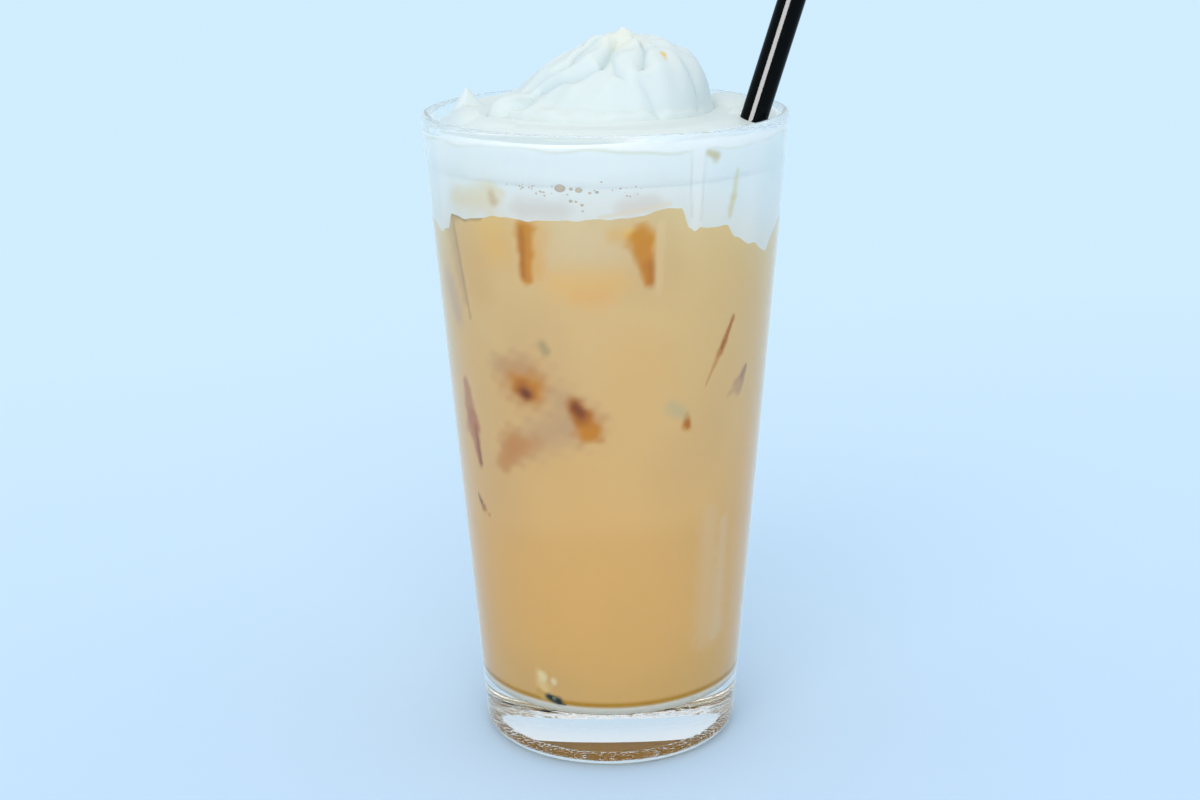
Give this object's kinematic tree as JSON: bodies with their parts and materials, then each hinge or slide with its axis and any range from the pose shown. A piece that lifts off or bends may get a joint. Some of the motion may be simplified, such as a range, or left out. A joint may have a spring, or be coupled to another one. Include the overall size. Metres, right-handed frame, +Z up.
{
  "type": "iced latte",
  "caption": "Tall conical glass of iced latte with milk foam, a whipped cream swirl and a leaning black straw.",
  "frame": {"origin": "centre of the glass's foot, on the surface that it stands on", "axes": "+Z up along the glass's axis, +Y to the back and +X to the right as seen from the front, where the straw leans"},
  "size_m": [0.0934, 0.0832, 0.2021],
  "materials": {
    "glass": "clear polished soda-lime glass",
    "latte": "milky coffee, seen through the glass",
    "milk_foam": "fine milk foam with a few bubbles",
    "whipped_cream": "soft satin whipped cream",
    "straw": "glossy black plastic"
  },
  "bodies": {
    "root": {"glass": "glass", "latte": "latte", "milk_foam": "milk_foam", "whipped_cream": "whipped_cream", "straw": "straw"}
  },
  "joints": []
}
